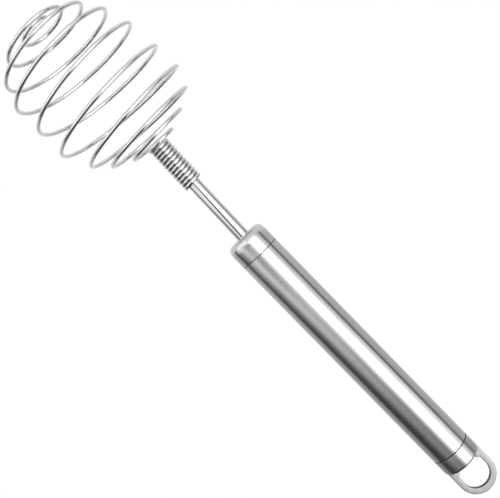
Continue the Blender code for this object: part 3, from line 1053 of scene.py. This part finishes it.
# %% The wire's line
WIRE_RADIUS = 0.0009
NECK_RADIUS = 0.003985
NECK_PITCH = 0.00181
BALL_DIAMETER = 0.0656
BALL_HEIGHT = 0.0732
BALL_FULLNESS = 2.26
BALL_TURNS = 9.85
BALL_CLOSER_ENDS = 0.117
TIP_START_RADIUS = 0.0022
TIP_TURNS = 1.85
SIDEWAYS = [-1.38, -2.23, -2.14, -2.39, 0.25, 0.53, 1.75, 2.44, 1.64, 0.50, 0.40]
OUTWARD = [0, -0.47, 0.70, 1.18, -0.01, -1.39, -0.36, 0.21, -0.28, -1.56, 0.90]
UPWARD = [0, -0.69, -0.43, 0.70, -0.71, 0.46, 0.29, -0.02, -1.09, 0.77, -0.20]
TIP_FORWARD = -0.093
TIP_BACK_PER_TURN = 0.018

neck_start_z = rod_low.z + WIRE_RADIUS
neck_turns = (neck_high.z - WIRE_RADIUS - neck_start_z) / NECK_PITCH
tip_cut_turn = TIP_TURNS - BALL_TURNS


def smooth(numbers, place):
    """A smooth curve through a list of millimetres, read at a place along it, in metres."""
    i = min(floor(place), len(numbers) - 2)
    t = place - i
    a, b, c, d = (numbers[min(max(k, 0), len(numbers) - 1)] for k in range(i - 1, i + 3))
    square = (2 * a - 5 * b + 4 * c - d) * t**2
    cube = (3 * b - a - 3 * c + d) * t**3
    return 0.5 * (2 * b + (c - a) * t + square + cube) / 1000


def ball_point(share):
    """Radius and height in the ball: share is 0 at the tip and 1 at the neck."""
    power = 2 / BALL_FULLNESS
    widest = BALL_DIAMETER / 2 - WIRE_RADIUS
    tip_angle = asin((TIP_START_RADIUS / widest) ** (1 / power))
    neck_angle = pi - asin((NECK_RADIUS / widest) ** (1 / power))
    eased = share - BALL_CLOSER_ENDS * sin(2 * pi * share) / (2 * pi)
    angle = tip_angle + (neck_angle - tip_angle) * eased

    def height(at):
        side = 1 if cos(at) > 0 else -1
        return -BALL_HEIGHT / 2 * side * abs(cos(at)) ** power

    return widest * sin(angle) ** power, neck_start_z + height(angle) - height(neck_angle)


def wire_point(turn):
    """The wire's centre at a turn, counted up from 0 where the neck starts."""
    if turn < 0:
        radius, z = ball_point(1 + turn / BALL_TURNS)
        radius += smooth(OUTWARD, -turn)
        z += smooth(UPWARD, -turn)
        aside = smooth(SIDEWAYS, -turn)
        tipping = (TIP_FORWARD - TIP_BACK_PER_TURN * turn) * min(1.0, -turn)
        z += tipping * radius * sin(2 * pi * turn)
    else:
        radius, z = NECK_RADIUS, neck_start_z + NECK_PITCH * turn
        aside = lean(z)
    return Vector((radius * cos(2 * pi * turn) + aside, radius * sin(2 * pi * turn), z))


print("neck turns:", round(neck_turns, 2))
print("wire's lower end at", tuple(round(x * 1000, 1) for x in wire_point(-BALL_TURNS)), "mm")

# %% [markdown]
# The wire's body is a ring of points round its line, swept along it. A curve with a bevel depth
# would sweep it too, but with flat ends and no map. The side of each ring points away from the
# whisk's axis, which never twists, because the line never runs straight up. The map for the
# drawing lines goes along in millimetres, and round from 0 to 1 and back, so it has no seam. A
# free end is rounded off by a few closer and smaller rings.

# %% Sweeping the wire
WIRE_SIDES = 24
END_ROUND_STEPS = 4
END_ROUND = 0.0003
# How far the plain centres keep off a free end, counted in its rounds.
END_CLEARING = 1.2


def round_end(centres, at_start):
    """Closer centres in the last stretch of a free end, for its rounded edge."""
    line = centres if at_start else centres[::-1]
    tip = line[0]
    kept = [point for point in line if (point - tip).length > END_CLEARING * END_ROUND]
    step = (kept[0] - tip).normalized()
    extra = []
    for i in range(1, END_ROUND_STEPS + 1):
        angle = pi / 2 * i / END_ROUND_STEPS
        extra.append(tip + step * END_ROUND * (1 - cos(angle)))
    line = [tip, *extra, *kept]
    return line if at_start else line[::-1]


def ring_radii(count, start_free, end_free):
    """Each ring's share of the wire's radius: a free end is rounded off."""
    shares = [1.0] * count
    for i in range(END_ROUND_STEPS):
        angle = pi / 2 * i / END_ROUND_STEPS
        rounded = 1 - END_ROUND / WIRE_RADIUS * (1 - sin(angle))
        if start_free:
            shares[i] = rounded
        if end_free:
            shares[count - 1 - i] = rounded
    return shares


def wire_rings(shape, centres, shares):
    """A ring of points round each centre, and how far along the wire each one is."""
    rings = []
    lengths = [0.0]
    last = len(centres) - 1
    for i, centre in enumerate(centres):
        along = (centres[min(i + 1, last)] - centres[max(i - 1, 0)]).normalized()
        side = along.cross(Vector((0, 0, 1))).normalized()
        up = side.cross(along)
        radius = WIRE_RADIUS * shares[i]
        ring = []
        for k in range(WIRE_SIDES):
            angle = 2 * pi * k / WIRE_SIDES
            ring.append(shape.verts.new(centre + (side * cos(angle) + up * sin(angle)) * radius))
        rings.append(ring)
        if i:
            lengths.append(lengths[-1] + (centre - centres[i - 1]).length)
    return rings, lengths


def wire_mesh(name, centres, start_free=False, end_free=False):
    """A round wire through the centres."""
    shape = bmesh.new()
    chart = shape.loops.layers.uv.new("wire_chart")
    shares = ring_radii(len(centres), start_free, end_free)
    rings, lengths = wire_rings(shape, centres, shares)

    def chart_place(row, column):
        return lengths[row] * 1000, 1 - abs(1 - 2 * column / WIRE_SIDES)

    for i in range(len(centres) - 1):
        for k in range(WIRE_SIDES):
            j = (k + 1) % WIRE_SIDES
            face = shape.faces.new((rings[i][k], rings[i][j], rings[i + 1][j], rings[i + 1][k]))
            places = ((i, k), (i, k + 1), (i + 1, k + 1), (i + 1, k))
            for loop_corner, place in zip(face.loops, places):
                loop_corner[chart].uv = chart_place(*place)
    shape.faces.new(rings[0][::-1])
    shape.faces.new(rings[-1])
    return finished_mesh(shape, name, angle=50)


def wire_centres(start, end, per_turn):
    """Centres evenly round each turn from start to end."""
    count = max(2, round((end - start) * per_turn))
    return [wire_point(start + (end - start) * i / count) for i in range(count + 1)]


print("wire sides:", WIRE_SIDES)

# %% [markdown]
# The real wire is one piece. It is three here, because the tip moves with its own body, while the
# neck and the ball ride on the handle's. The pieces share their end centres, so no joint shows.

# %% Neck, ball and tip
BALL_POINTS = 96
NECK_POINTS = 56


def make_neck():
    """The close winding round the rod's end."""
    centres = round_end(wire_centres(0, neck_turns, NECK_POINTS), at_start=False)
    mesh = wire_mesh("neck_winding", centres, end_free=True)
    return add_piece(mesh, neck_finish, "handle", "neck_coil")


def make_ball():
    """The ball's turns, from the tip's curl up to the neck."""
    mesh = wire_mesh("ball_winding", wire_centres(tip_cut_turn, 0, BALL_POINTS))
    piece = add_piece(mesh, wire_finish, "handle", "ball_coil")
    span = neck_start_z - wire_point(tip_cut_turn).z
    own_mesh(piece)
    return piece


def make_tip():
    """The curl at the ball's lower end."""
    centres = round_end(wire_centres(-BALL_TURNS, tip_cut_turn, BALL_POINTS), at_start=True)
    mesh = wire_mesh("tip_winding", centres, start_free=True)
    return add_piece(mesh, wire_finish, "whisk_tip", "tip_curl")


wire_pieces = [make_neck(), make_ball(), make_tip()]
print("wire faces:", [len(piece.data.polygons) for piece in wire_pieces])

# %% [markdown]
# The washer and nut inside the front cap keep their CAD shapes and get the plain finish.

# %% Washer and nut
for node in ("tang_washer", "tang_nut"):
    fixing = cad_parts[node]
    fixing.data.materials.clear()
    fixing.data.materials.append(plain)
    print(node, "is", plain.name)
